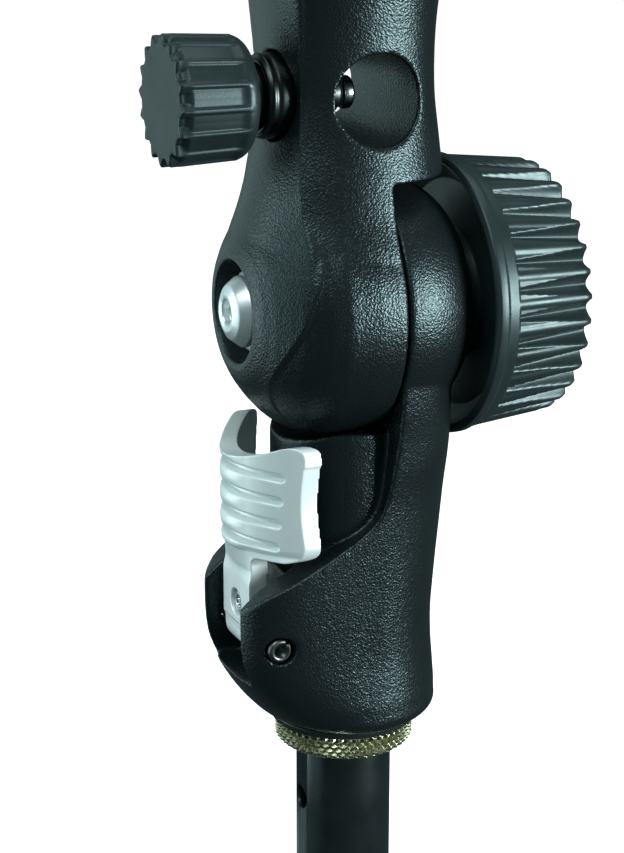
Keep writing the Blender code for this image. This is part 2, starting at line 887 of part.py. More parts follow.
def knob_shell(name, profile, steps, wave, origin, look):
    """A turned knob with a blind bore: both ends of the profile lie on the axis."""
    bm = turned_mesh(profile, "X", origin, steps, wave=wave)
    return finish_mesh(bm, name, PARTS, look, origin)


clamp_knob = knob_shell(
    "clamp_knob",
    [
        (-26.6 * MM, 0.0),
        (-26.6 * MM, 3.4 * MM),
        (SMALL_KNOB_IN_X, 3.4 * MM),
        (SMALL_KNOB_IN_X, 7.2 * MM),
        (-17.8 * MM, 8.4 * MM),
        (-18.6 * MM, 9.2 * MM),
        (-19.8 * MM, 9.6 * MM),
        (-22.6 * MM, 9.75 * MM),
        (-30.1 * MM, SMALL_KNOB_R),
        (SMALL_KNOB_OUT_X, 9.7 * MM),
        (SMALL_KNOB_OUT_X, 0.0),
    ],
    SMALL_KNOB_TEETH * 4,
    small_knob_wave,
    SCREW_AXIS,
    PLASTIC,
)
clamp_screw = turned(
    "clamp_screw",
    [
        (-26.2 * MM, 0.0),
        (-26.2 * MM, SCREW_R),
        (-17.1 * MM, SCREW_R),
        (-17.1 * MM, 4.6 * MM),
        (-14.6 * MM, 4.6 * MM),
        (-14.6 * MM, SCREW_R),
        (SCREW_END_X - 0.4 * MM, SCREW_R),
        (SCREW_END_X, 2.4 * MM),
        (SCREW_END_X, 0.0),
    ],
    "X",
    SCREW_AXIS,
    32,
    STEEL,
    origin=SCREW_AXIS,
)
nose_pad = turned(
    "nose_pad",
    [
        (SCREW_END_X + 0.3 * MM, 0.0),
        (SCREW_END_X + 0.3 * MM, 2.3 * MM),
        (SCREW_END_X + 0.6 * MM, 2.6 * MM),
        (SCREW_END_X + 1.6 * MM, 2.6 * MM),
        (SCREW_END_X + 2.0 * MM, 2.2 * MM),
        (SCREW_END_X + 2.0 * MM, 0.0),
    ],
    "X",
    SCREW_AXIS,
    32,
    STEEL,
    origin=SCREW_AXIS,
)

# ---------------------------------------------------------------- accessory shoe
SHOE_Z = ARM_TOP + 0.3 * MM
shoe_outline = [
    (-SHOE_HALF_X, SHOE_Z),
    (SHOE_HALF_X, SHOE_Z),
    (SHOE_HALF_X, SHOE_Z + 2 * SHOE_SHEET + SHOE_SLOT_H),
    (SHOE_MOUTH_HALF, SHOE_Z + 2 * SHOE_SHEET + SHOE_SLOT_H),
    (SHOE_MOUTH_HALF, SHOE_Z + SHOE_SHEET + SHOE_SLOT_H),
    (SHOE_SLOT_HALF, SHOE_Z + SHOE_SHEET + SHOE_SLOT_H),
    (SHOE_SLOT_HALF, SHOE_Z + SHOE_SHEET),
    (-SHOE_SLOT_HALF, SHOE_Z + SHOE_SHEET),
    (-SHOE_SLOT_HALF, SHOE_Z + SHOE_SHEET + SHOE_SLOT_H),
    (-SHOE_MOUTH_HALF, SHOE_Z + SHOE_SHEET + SHOE_SLOT_H),
    (-SHOE_MOUTH_HALF, SHOE_Z + 2 * SHOE_SHEET + SHOE_SLOT_H),
    (-SHOE_HALF_X, SHOE_Z + 2 * SHOE_SHEET + SHOE_SLOT_H),
]
shoe_plate = prism(
    "shoe_plate", shoe_outline, "Y", -SHOE_HALF_Y, SHOE_HALF_Y, PARTS, STEEL, TILT
)
cut(shoe_plate, *shoe_hole_cuts)
for index, (hx, hy) in enumerate(SHOE_HOLES, 1):
    turned(
        f"shoe_screw_{index}",
        [
            (129.0 * MM, 0.0),
            (129.0 * MM, 1.0 * MM),
            (SHOE_Z + SHOE_SHEET + 0.25 * MM, 1.0 * MM),
            (SHOE_Z + SHOE_SHEET + 0.25 * MM, 2.1 * MM),
            (SHOE_Z + SHOE_SHEET + 0.7 * MM, 2.1 * MM),
            (SHOE_Z + SHOE_SHEET + 1.05 * MM, 1.5 * MM),
            (SHOE_Z + SHOE_SHEET + 1.05 * MM, 0.0),
        ],
        "Z",
        (hx * MM, hy * MM, 0.0),
        16,
        STEEL,
        origin=TILT,
    )
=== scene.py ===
"""Looks of the tilt head with cam clamp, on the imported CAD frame."""

import math

import bmesh
import bpy
import numpy as np
from mathutils import Matrix, Vector


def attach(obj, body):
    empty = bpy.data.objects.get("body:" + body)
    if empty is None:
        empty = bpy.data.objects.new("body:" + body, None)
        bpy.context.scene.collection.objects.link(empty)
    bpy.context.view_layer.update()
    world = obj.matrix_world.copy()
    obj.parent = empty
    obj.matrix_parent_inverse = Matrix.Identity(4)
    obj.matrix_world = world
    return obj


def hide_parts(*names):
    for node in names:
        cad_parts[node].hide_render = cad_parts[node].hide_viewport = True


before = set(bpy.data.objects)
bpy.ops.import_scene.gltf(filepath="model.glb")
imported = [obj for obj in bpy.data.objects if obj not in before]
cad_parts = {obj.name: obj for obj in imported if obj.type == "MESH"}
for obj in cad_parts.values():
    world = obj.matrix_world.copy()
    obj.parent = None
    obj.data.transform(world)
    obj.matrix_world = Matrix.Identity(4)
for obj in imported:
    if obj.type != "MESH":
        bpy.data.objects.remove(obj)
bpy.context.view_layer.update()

MM = 0.001
VOXEL_CAST = 0.3 * MM
VOXEL_LEVER = 0.14 * MM

# ------------------------------------------------------------------ places and sizes in mm
TILT_Z = 74.7
HOLE_Z = 108.0
CREST_HEIGHT = 0.32 * MM
PIN_X = -16.5
PIN_Z = 21.9
PIN_BORE_R = 2.35
TENSION_BORE_R = 2.3
BOLT_BORE_R = 3.35
DISC_R = 13.1
CROSS_HOLE_R = 6.9
TENSION_Z = 26.4
SHOE_Z = 134.3


# ------------------------------------------------------------------ mesh helpers
def new_object(name, verts, faces, smooth=True):
    mesh = bpy.data.meshes.new(name)
    mesh.from_pydata([tuple(v) for v in verts], [], faces)
    mesh.update()
    obj = bpy.data.objects.new(name, mesh)
    bpy.context.scene.collection.objects.link(obj)
    bm = bmesh.new()
    bm.from_mesh(mesh)
    bmesh.ops.recalc_face_normals(bm, faces=bm.faces[:])
    bm.to_mesh(mesh)
    bm.free()
    if smooth:
        mesh.polygons.foreach_set("use_smooth", [True] * len(mesh.polygons))
    return obj


def bend(profile, radius, count=4):
    """Rounds the corners of an open profile with small curves."""
    out = [profile[0]]
    for a, p, b in zip(profile[:-2], profile[1:-1], profile[2:]):
        a, p, b = np.array(a[:2]), np.array(p), np.array(b[:2])
        r = radius if len(p) < 3 else p[2]
        p = p[:2]
        la, lb = np.linalg.norm(a - p), np.linalg.norm(b - p)
        if r <= 0 or la < 1e-9 or lb < 1e-9:
            out.append(tuple(p))
            continue
        start = p + (a - p) / la * min(r, la * 0.49)
        end = p + (b - p) / lb * min(r, lb * 0.49)
        for k in range(count + 1):
            t = k / count
            q = (1 - t) ** 2 * start + 2 * t * (1 - t) * p + t * t * end
            out.append(tuple(q))
    out.append(profile[-1][:2])
    return out


def turned(name, profile, axis, centre, steps, closed=False, wave=None):
    """A body turned from a profile [(along, radius)] in mm about an axis."""
    along, first, second = {
        "X": ((1, 0, 0), (0, 1, 0), (0, 0, 1)),
        "Y": ((0, 1, 0), (0, 0, 1), (1, 0, 0)),
        "Z": ((0, 0, 1), (1, 0, 0), (0, 1, 0)),
    }[axis]
    along, first, second = (np.array(v, float) for v in (along, first, second))
    angle = np.linspace(0, 2 * np.pi, steps, endpoint=False)
    verts, rings, total = [], [], 0
    for item in profile:
        position, radius = item[:2]
        base = np.array(centre, float) + along * position
        if radius <= 1e-9:
            verts.append(base[None])
            rings.append((total, 1))
            total += 1
            continue
        r = np.full(steps, float(radius)) if wave is None else wave(angle, position, radius)
        ring = base + (r * np.cos(angle))[:, None] * first + (r * np.sin(angle))[:, None] * second
        verts.append(ring)
        rings.append((total, steps))
        total += steps
    pairs = list(zip(rings[:-1], rings[1:]))
    if closed:
        pairs.append((rings[-1], rings[0]))
    faces = []
    for (low, n_low), (high, n_high) in pairs:
        for i in range(steps):
            j = (i + 1) % steps
            if n_low == 1 and n_high == 1:
                break
            if n_low == 1:
                faces.append((low, high + i, high + j))
            elif n_high == 1:
                faces.append((low + i, low + j, high))
            else:
                faces.append((low + i, low + j, high + j, high + i))
    return new_object(name, np.concatenate(verts) * MM, faces)


def washer(name, axis, centre, start, end, inner, outer, edge=0.25, steps=96):
    profile = [(start, inner), (start, outer - edge), (start + edge, outer), (end - edge, outer),
               (end, outer - edge), (end, inner)]
    return turned(name, profile, axis, centre, steps, closed=True)


def rod(name, axis, centre, start, end, radius, steps=96):
    return turned(name, [(start, 0), (start, radius), (end, radius), (end, 0)], axis, centre, steps)


def loft(name, sections):
    """Closed sections with equal point counts joined up and capped."""
    count = len(sections[0])
    verts = np.concatenate([np.array(s, float) for s in sections]) * MM
    faces = []
    for k in range(len(sections) - 1):
        for i in range(count):
            j = (i + 1) % count
            a, b = k * count, (k + 1) * count
            faces.append((a + i, a + j, b + j, b + i))
    faces.append(tuple(reversed(range(count))))
    faces.append(tuple(range((len(sections) - 1) * count, len(sections) * count)))
    return new_object(name, verts, faces)


def prism(name, outline, axis, start, end):
    place = {
        "Y": lambda a, b, t: (a, t, b),
        "X": lambda a, b, t: (t, a, b),
        "Z": lambda a, b, t: (a, b, t),
    }[axis]
    return loft(name, [[place(a, b, t) for a, b in outline] for t in (start, end)])


def table_at(table, value):
    """Smooth interpolation in rows (position, values...)."""
    rows = np.array(table, float)
    pos = rows[:, 0]
    if value <= pos[0]:
        return rows[0, 1:]
    if value >= pos[-1]:
        return rows[-1, 1:]
    i = int(np.searchsorted(pos, value, side="right")) - 1
    slope = np.gradient(rows[:, 1:], pos, axis=0)
    step = pos[i + 1] - pos[i]
    t = (value - pos[i]) / step
    return (
        (2 * t**3 - 3 * t**2 + 1) * rows[i, 1:]
        + (t**3 - 2 * t**2 + t) * slope[i] * step
        + (-2 * t**3 + 3 * t**2) * rows[i + 1, 1:]
        + (t**3 - t**2) * slope[i + 1] * step
    )


def combine(target, steps):
    """Runs exact booleans: steps is a list of (operation, object); the others are removed."""
    for operation, other in steps:
        mod = target.modifiers.new("b", "BOOLEAN")
        mod.operation = operation
        mod.solver = "EXACT"
        mod.object = other
    settle(target)
    for _, other in steps:
        bpy.data.objects.remove(other, do_unlink=True)
    return target


def settle(obj):
    """Replaces an object's mesh by its evaluated one."""
    bpy.context.view_layer.update()
    graph = bpy.context.evaluated_depsgraph_get()
    mesh = bpy.data.meshes.new_from_object(obj.evaluated_get(graph))
    obj.modifiers.clear()
    obj.data = mesh
    mesh.polygons.foreach_set("use_smooth", [True] * len(mesh.polygons))


def cast(obj, voxel, passes):
    """Even mesh with softly rounded edges, as a casting has."""
    mod = obj.modifiers.new("r", "REMESH")
    mod.mode = "VOXEL"
    mod.voxel_size = voxel
    mod.use_smooth_shade = True
    mod = obj.modifiers.new("s", "SMOOTH")
    mod.factor = 0.5
    mod.iterations = passes
    settle(obj)


def dress(obj, material, body, slot_name, *nodes):
    obj.data.materials.clear()
    obj.data.materials.append(material)
    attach(obj, body)
    if nodes:
        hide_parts(*nodes)
    return obj


# ------------------------------------------------------------------ materials
def shader_base(name, colour, roughness, metallic):
    mat = bpy.data.materials.new(name)
    mat.use_nodes = True
    tree = mat.node_tree
    shader = tree.nodes["Principled BSDF"]
    shader.inputs["Base Color"].default_value = (*colour, 1)
    shader.inputs["Roughness"].default_value = roughness
    shader.inputs["Metallic"].default_value = metallic
    coords = tree.nodes.new("ShaderNodeTexCoord")
    return mat, tree, shader, coords


def noise(tree, coords, scale, detail=3.0, rough=0.5):
    tex = tree.nodes.new("ShaderNodeTexNoise")
    tex.inputs["Scale"].default_value = scale
    tex.inputs["Detail"].default_value = detail
    tex.inputs["Roughness"].default_value = rough
    tree.links.new(coords.outputs["Object"], tex.inputs["Vector"])
    return tex


def spread(tree, source, low, high, from_low=0.3, from_high=0.7):
    node = tree.nodes.new("ShaderNodeMapRange")
    node.inputs["From Min"].default_value = from_low
    node.inputs["From Max"].default_value = from_high
    node.inputs["To Min"].default_value = low
    node.inputs["To Max"].default_value = high
    tree.links.new(source, node.inputs["Value"])
    return node.outputs["Result"]


def tint(tree, factor, dark, light):
    node = tree.nodes.new("ShaderNodeMix")
    node.data_type = "RGBA"
    node.inputs["A"].default_value = (*dark, 1)
    node.inputs["B"].default_value = (*light, 1)
    tree.links.new(factor, node.inputs["Factor"])
    return node.outputs["Result"]


def bump(tree, shader, height, strength, distance, below=None):
    node = tree.nodes.new("ShaderNodeBump")
    node.inputs["Strength"].default_value = strength
    node.inputs["Distance"].default_value = distance
    tree.links.new(height, node.inputs["Height"])
    if below is not None:
        tree.links.new(below, node.inputs["Normal"])
    tree.links.new(node.outputs["Normal"], shader.inputs["Normal"])
    return node.outputs["Normal"]


def paint_material():
    """Black powder coat with a fine leather grain."""
    mat, tree, shader, coords = shader_base("black_grain_paint", (0.006, 0.008, 0.009), 0.32, 0)
    shader.inputs["Specular Tint"].default_value = (0.72, 0.95, 1.0, 1)
    shader.inputs["Specular IOR Level"].default_value = 0.55
    warp = noise(tree, coords, 900, 2)
    mix = tree.nodes.new("ShaderNodeVectorMath")
    mix.operation = "MULTIPLY_ADD"
    mix.inputs[1].default_value = (0.0006, 0.0006, 0.0006)
    tree.links.new(warp.outputs["Color"], mix.inputs[0])
    tree.links.new(coords.outputs["Object"], mix.inputs[2])
    cells = tree.nodes.new("ShaderNodeTexVoronoi")
    cells.feature = "SMOOTH_F1"
    cells.inputs["Scale"].default_value = 2900
    cells.inputs["Smoothness"].default_value = 0.35
    tree.links.new(mix.outputs["Vector"], cells.inputs["Vector"])
    fine = noise(tree, coords, 4600, 2, 0.6)
    first = bump(tree, shader, cells.outputs["Distance"], 0.7, 0.00009)
    bump(tree, shader, fine.outputs["Fac"], 0.5, 0.00006, first)
    slow = noise(tree, coords, 60, 3)
    tree.links.new(spread(tree, slow.outputs["Fac"], 0.28, 0.35), shader.inputs["Roughness"])
    tree.links.new(
        tint(tree, fine.outputs["Fac"], (0.004, 0.006, 0.0065), (0.008, 0.011, 0.012)),
        shader.inputs["Base Color"],
    )
    return mat


def plastic_material(name, dark, light, roughness, grain=0.3):
    mat, tree, shader, coords = shader_base(name, dark, roughness, 0)
    shader.inputs["Specular Tint"].default_value = (0.8, 0.97, 1.0, 1)
    fine = noise(tree, coords, 3200, 3, 0.6)
    slow = noise(tree, coords, 180, 4)
    bump(tree, shader, fine.outputs["Fac"], grain, 0.00005)
    tree.links.new(
        spread(tree, slow.outputs["Fac"], roughness - 0.05, roughness + 0.06),
        shader.inputs["Roughness"],
    )
    tree.links.new(tint(tree, slow.outputs["Fac"], dark, light), shader.inputs["Base Color"])
    return mat


def metal_material(name, dark, light, roughness, grain, metallic=1.0):
    mat, tree, shader, coords = shader_base(name, dark, roughness, metallic)
    fine = noise(tree, coords, 2500, 4, 0.65)
    slow = noise(tree, coords, 220, 3)
    bump(tree, shader, fine.outputs["Fac"], grain, 0.00004)
    tree.links.new(
        spread(tree, slow.outputs["Fac"], roughness - 0.05, roughness + 0.07),
        shader.inputs["Roughness"],
    )
    tree.links.new(tint(tree, fine.outputs["Fac"], dark, light), shader.inputs["Base Color"])
    return mat


PAINT = paint_material()
KNOB = plastic_material("slate_plastic", (0.014, 0.022, 0.023), (0.020, 0.030, 0.031), 0.36)
KNOB_SMALL = plastic_material("slate_plastic_dark", (0.010, 0.017, 0.018), (0.015, 0.024, 0.025),
                              0.42)
BUSH = plastic_material("black_acetal", (0.010, 0.013, 0.013), (0.016, 0.020, 0.020), 0.4, 0.15)
LINING = plastic_material("black_rubber", (0.012, 0.012, 0.012), (0.02, 0.02, 0.02), 0.75, 0.6)
TUBE = plastic_material("black_tube_paint", (0.006, 0.008, 0.009), (0.010, 0.013, 0.014), 0.3, 0.08)
FIBRE = plastic_material("friction_fibre", (0.09, 0.05, 0.03), (0.16, 0.08, 0.05), 0.85, 0.8)
NICKEL = metal_material("satin_nickel", (0.86, 0.92, 0.925), (0.92, 0.97, 0.975), 0.42, 0.3,
                        0.35)
STEEL = metal_material("bright_steel", (0.62, 0.66, 0.67), (0.70, 0.74, 0.75), 0.2, 0.1)
ZINC = metal_material("bright_zinc", (0.80, 0.85, 0.86), (0.88, 0.93, 0.94), 0.38, 0.1, 0.8)
BRASS = metal_material("pale_brass", (0.36, 0.36, 0.22), (0.56, 0.55, 0.38), 0.3, 0.2)
BUSH_BLACK = metal_material("blackened_brass", (0.03, 0.036, 0.036), (0.06, 0.068, 0.068), 0.3, 0.15)
DARK_STEEL = metal_material("dark_steel", (0.10, 0.11, 0.11), (0.16, 0.17, 0.17), 0.32, 0.15)

# ------------------------------------------------------------------ stand tube and ring
tube = turned(
    "tube_skin",
    [(-36, 6.6), (-36, 7.6), (-35.7, 7.9), (-35.3, 8.0), (38.2, 8.0), (38.6, 7.6), (38.6, 6.6)],
    "Z", (0, 0, 0), 128, closed=True,
)
combine(tube, [("DIFFERENCE", rod("c", "X", (0, 0, -10.6), -12, 0, 2.2, 48))])
dress(tube, TUBE, "tube", "tube", "stand_tube")


KNURLS = 50
KNURL_PITCH = 1.47
KNURL_DEPTH = 0.62


def knurl(angle, along, radius):
    """Two crossed helical grooves leave pyramids."""
    if radius < 11.0:
        return np.full_like(angle, radius)
    u = angle * KNURLS / (2 * np.pi)
    v = along / KNURL_PITCH
    a = 1 - 2 * np.abs((u + v) % 1.0 - 0.5)
    b = 1 - 2 * np.abs((u - v) % 1.0 - 0.5)
    return radius - KNURL_DEPTH * (1 - np.minimum(a, b))


KNURL_Z = np.linspace(0.12, 3.38, 26)
ring_profile = [(0.0, 8.35), (0.0, 10.95)]
ring_profile += [(float(z), 11.7 - 0.35 * max(abs(z - 1.75) - 1.35, 0) / 0.28) for z in KNURL_Z]
ring_profile += [(3.5, 10.95), (3.5, 8.35)]
ring = turned("knurled_ring_skin", ring_profile, "Z", (0, 0, 0), KNURLS * 12, closed=True,
              wave=knurl)
ring.data.polygons.foreach_set("use_smooth", [False] * len(ring.data.polygons))
dress(ring, BRASS, "ring", "brass", "knurled_ring")

collar = turned(
    "collar_skin",
    bend([(10.8, 8.35), (3.9, 8.35), (3.9, 12.2), (5.2, 12.6), (5.2, 9.15), (10.8, 9.15)], 0.35),
    "Z", (0, 0, 0), 96, closed=True,
)
dress(collar, BUSH, "clamp_body", "bush", "socket_collar")

# ------------------------------------------------------------------ lower body
# z, left reach, right reach, half depth, left power, right power
BODY_TABLE = [
    (5.6, 12.4, 14.0, 13.8, 2.0, 2.0),
    (6.4, 14.0, 14.9, 14.6, 2.1, 2.0),
    (9.0, 17.0, 15.2, 14.9, 2.4, 2.0),
    (13.0, 19.9, 15.0, 14.6, 2.9, 2.0),
    (18.0, 22.0, 14.6, 14.2, 3.4, 2.0),
    (23.0, 22.5, 14.5, 14.1, 3.7, 2.0),
    (28.0, 22.5, 14.9, 14.1, 3.8, 2.0),
    (38.0, 22.5, 15.9, 14.4, 3.8, 2.0),
    (46.0, 22.5, 16.2, 15.0, 3.6, 2.2),
    (51.0, 22.5, 15.8, 15.8, 3.3, 2.6),
    (54.6, 22.5, 15.6, 16.3, 3.2, 2.8),
    (60.0, 22.5, 15.3, 17.4, 3.0, 2.8),
    (66.5, 22.5, 15.0, 18.2, 3.0, 2.8),
]


def oval(z, left, right, depth, power_left, power_right, steps=160):
    angle = np.linspace(0, 2 * np.pi, steps, endpoint=False)
    c, s = np.cos(angle), np.sin(angle)
    power = np.where(c >= 0, power_right, power_left)
    reach = np.where(c >= 0, right, left)
    x = reach * np.sign(c) * np.abs(c) ** (2.0 / power)
    y = depth * np.sign(s) * np.abs(s) ** (2.0 / power)
    return np.stack([x, y, np.full(steps, z)], 1)


def body_skin():
    levels = np.concatenate([np.linspace(5.6, 9.0, 9), np.linspace(10, 66.5, 46)])
    body = loft("body_skin", [oval(z, *table_at(BODY_TABLE, z)) for z in levels])
    edge = [(-40, 26.6), (-22.4, 27.4), (-20.6, 29.3), (-18.2, 31.2), (-13.3, 33.8),
            (-9.5, 35.9), (-6.5, 37.7), (-3.5, 39.5), (-1.2, 41.3), (0.3, 43.5), (1.1, 46.4),
            (1.5, 50.0), (2.1, 55.0), (2.1, 90), (-40, 90)]
    edge_curve = bend(edge, 2.0, 3)
    cheek = [(1.7, 0), (1.7, 20.2), (2.0, 20.5)]
    cheek += [(3.0 + 12.55 * math.sin(a), 20.5 - 8.0 * (1 - math.cos(a)))
              for a in np.radians(np.arange(0, 88, 4.0))]
    cheek += [(15.6, 11.8), (15.6, 0)]
    saddle = [(1.85, 0), (1.85, 21.4), (-9, 21.3), (-12, 20.6), (-15, 18.6), (-30, 8), (-30, 0)]
    slot = [(-40, 15.4), (-24.0, 15.4), (-16.5, 14.6), (-12.4, 16.0), (-11.9, 18.0),
            (-11.9, 33.0), (-12.2, 45.0), (-40, 45.0)]
    bolt = [(0, 0), (0, DISC_R), (2.9, DISC_R), (2.9, BOLT_BORE_R), (30, BOLT_BORE_R), (30, 0)]
    tilt = (0, 0, TILT_Z)
    combine(body, [
        ("DIFFERENCE", prism("c1", edge_curve, "Y", -30, 30)),
        ("UNION", rod("c2", "Z", (0, 0, 0), 20, 56, 12.2, 128)),
        ("DIFFERENCE", turned("c3", saddle, "X", tilt, 160)),
        ("UNION", turned("c4", cheek, "X", tilt, 200)),
    ])
    combine(body, [
        ("DIFFERENCE", prism("c5", slot, "Y", -7.6, 7.6)),
        ("DIFFERENCE", prism("c6", [(-13, 13), (-7, 13), (-7, 31), (-13, 31)], "Y", -5.6, 5.6)),
        ("DIFFERENCE", rod("c7", "Z", (0, 0, 0), -5, 40, 9.5, 128)),
        ("DIFFERENCE", rod("c8", "Y", (PIN_X, 0, PIN_Z), -30, 30, 2.3, 64)),
        ("DIFFERENCE", turned("c9", bolt, "X", tilt, 96)),
    ])
    cast(body, VOXEL_CAST, 12)
    return body


dress(body_skin(), PAINT, "clamp_body", "paint", "lower_body")

# ------------------------------------------------------------------ tilt arm
# z, left reach, crease x, crease y, half depth, right reach, right power
ARM_TABLE = [
    (76.0, 18.6, 12.8, 18.0, 19.0, 13.0, 2.2),
    (80.0, 19.0, 13.0, 17.2, 19.3, 13.2, 2.2),
    (84.8, 18.5, 12.7, 15.6, 18.4, 13.8, 2.2),
    (90.0, 16.8, 12.1, 13.3, 16.6, 14.4, 2.2),
    (96.7, 14.5, 11.6, 11.2, 15.0, 14.6, 2.2),
    (102.0, 12.8, 11.2, 9.6, 13.8, 14.0, 2.3),
    (108.3, 11.9, 10.9, 8.6, 13.1, 13.3, 2.3),
    (113.0, 12.4, 11.3, 8.6, 12.9, 13.2, 2.3),
    (122.0, 13.3, 12.1, 9.0, 13.4, 13.7, 2.3),
    (129.0, 14.4, 13.0, 10.0, 14.3, 14.5, 2.6),
    (134.0, 15.0, 13.4, 10.8, 14.8, 15.0, 3.2),
]
LOBE = [(1.4, 0), (1.4, 20.4), (1.0, 20.8), (-3.0, 20.8), (-8.0, 20.4), (-10.6, 19.5),
        (-12.5, 18.4), (-14.2, 17.0), (-15.8, 15.2), (-17.3, 13.2), (-18.7, 10.8),
        (-19.4, 9.0), (-19.4, 0)]
# height and half width of the raised line around the arm's left face
CREST = [(57.0, 7.1), (59.5, 7.1), (62.0, 7.7), (64.5, 9.2), (67.0, 11.2), (71.0, 14.4),
         (75.0, 16.7), (79.0, 17.4), (81.5, 17.3), (84.0, 16.6), (86.0, 15.5), (88.0, 14.0),
         (90.5, 12.5), (93.5, 11.4), (98.0, 10.0), (105.0, 8.3), (114.0, 8.5), (122.0, 9.3),
         (134.0, 10.8)]
# z and how much deeper the arm is behind its axis than in front
ARM_BACK_TABLE = [(90, 1.0), (96, 1.03), (102, 1.12), (108, 1.17), (114, 1.17), (122, 1.1),
                  (130, 1.02), (134, 1.0)]


def arm_section(z, left, crease_x, crease_y, depth, right, power):
    """Plan section with a soft crease between its flat left face and its round front."""
    steps = 44
    angle = np.linspace(-np.pi / 2, np.pi / 2, 2 * steps, endpoint=False)
    c, s = np.cos(angle), np.sin(angle)
    right_side = np.stack(
        [right * np.abs(c) ** (2 / power), depth * np.sign(s) * np.abs(s) ** (2 / power)], 1
    )
    reach = crease_x / math.sqrt(max(1 - (crease_y / depth) ** 2, 0.05))
    top = math.asin(crease_y / depth)
    a = np.linspace(np.pi / 2, top, steps, endpoint=False)
    back = np.stack([-reach * np.cos(a), depth * np.sin(a)], 1)
    y = np.linspace(crease_y, -crease_y, steps, endpoint=False)
    bulge = 1 - np.abs(y / crease_y) ** 2.2
    face = np.stack([-crease_x - (left - crease_x) * bulge, y], 1)
    a = np.linspace(-top, -np.pi / 2, steps, endpoint=False)
    front = np.stack([-reach * np.cos(a), depth * np.sin(a)], 1)
    flat = np.concatenate([right_side, back, face, front])
    flat[:, 1] *= np.where(flat[:, 1] > 0, table_at(ARM_BACK_TABLE, z)[0], 1.0)
    return np.concatenate([flat, np.full((len(flat), 1), z)], 1)


def raise_crest(arm):
    """A thin raised line where the left face turns into the round sides."""
    mesh = arm.data
    count = len(mesh.vertices)
    co = np.empty(count * 3)
    no = np.empty(count * 3)
    mesh.vertices.foreach_get("co", co)
    mesh.vertex_normals.foreach_get("vector", no)
    co, no = co.reshape(-1, 3), no.reshape(-1, 3)
    heights = np.linspace(57, 134, 400)
    widths = np.array([table_at(CREST, h)[0] for h in heights])
    slopes = np.gradient(widths, heights)
    z = co[:, 2] / MM
    edge = np.interp(z, heights, widths)
    lean = np.interp(z, heights, slopes)
    away = (np.abs(co[:, 1]) / MM - edge) / np.sqrt(1 + lean**2)
    lift = np.where(away > 0, np.exp(-((away / 0.38) ** 2)), np.exp(away / 2.2))
    left = np.clip((-no[:, 0] - 0.25) / 0.2, 0, 1) * (co[:, 0] < -9.0 * MM)
    ends = np.clip((z - 57.5) / 2.5, 0, 1)
    away_from_bolt = np.hypot(co[:, 1] / MM, z - TILT_Z)
    clear = np.clip((away_from_bolt - 9.5) / 2.0, 0, 1)
    co += no * (CREST_HEIGHT * lift * left * ends * clear)[:, None]
    mesh.vertices.foreach_set("co", co.ravel())
    mesh.update()


def arm_skin():
    levels = np.concatenate([np.linspace(76, 133.2, 50), [133.7, 134.0]])
    arm = loft("arm_skin", [arm_section(z, *table_at(ARM_TABLE, z)) for z in levels])
    tilt = (0, 0, TILT_Z)
    screw = (0, 0, HOLE_Z)
    counter = [(-40, 0), (-40, 6.9), (-10.3, 6.9), (-10.3, 4.3), (0, 4.3), (0, 0)]
    bolt = [(-40, 0), (-40, 8.0), (-14.2, 8.0), (-14.2, BOLT_BORE_R), (0.2, BOLT_BORE_R),
            (0.2, DISC_R), (5, DISC_R), (5, 0)]
    combine(arm, [
        ("DIFFERENCE", prism("c1", [(-40, 60), (40, 60), (40, 95.6), (-40, 95.6)], "X", 1.1, 40)),
        ("DIFFERENCE", rod("c2", "Y", screw, -40, 40, CROSS_HOLE_R, 128)),
        ("DIFFERENCE", turned("c3", counter, "X", screw, 96)),
        ("UNION", turned("c4", LOBE, "X", tilt, 200)),
    ])
    combine(arm, [("DIFFERENCE", turned("c5", bolt, "X", tilt, 128))])
    cast(arm, VOXEL_CAST, 16)
    raise_crest(arm)
    return arm


dress(arm_skin(), PAINT, "arm", "paint", "tilt_arm")

# ------------------------------------------------------------------ cam lever
GROOVES = (38.9, 42.75, 46.6, 50.45)
SPINE_X = -20.9
DISH = 0.046
THICK = 2.95
HALF = 13.3
STEM = 5.7
STEM_STEP = 1.6
LEVER_LOW = 36.0
LEVER_CORNER = 2.8
LEVER_SIDE_TOP = 52.0
LEVER_RIM = 56.4
LEVER_DIP = 4.3


def lever_half(z):
    """Half width in mm: a narrow stem, then the blade with round corners and a slight waist."""
    if z <= LEVER_LOW - 1.6:
        return STEM
    if z < LEVER_LOW:
        t = (z - LEVER_LOW + 1.6) / 1.6
        return STEM + 1.6 * (1 - math.sqrt(max(1 - t * t, 0)))
    if z < LEVER_LOW + LEVER_CORNER:
        t = (z - LEVER_LOW) / LEVER_CORNER
        return HALF - LEVER_CORNER + LEVER_CORNER * math.sqrt(max(1 - (1 - t) ** 2, 0))
    return HALF - 0.45 * math.sin(math.pi * min((z - LEVER_LOW - LEVER_CORNER) / 14.4, 1))


def lever_top(y):
    """Height of the scooped rim, with round shoulders at both sides."""
    s = min(abs(y) / HALF, 1.0)
    shoulder = max(abs(y) - (HALF - 3.0), 0) / 3.0
    return LEVER_RIM - LEVER_DIP * (1 - s * s) - 3.0 * (1 - math.sqrt(max(1 - shoulder**2, 0)))


def slot_mark(y, z):
    """One inside the slots across the blade, zero outside, with rounded ends."""
    mark = 0.0
    for n, height in enumerate(GROOVES):
        reach = max(abs(y) - (9.6 + 0.25 * n), 0)
        away = math.hypot(reach, z - height + 0.004 * y * y)
        mark = max(mark, 1 / (1 + math.exp((away - 0.54) / 0.05)))
    return mark


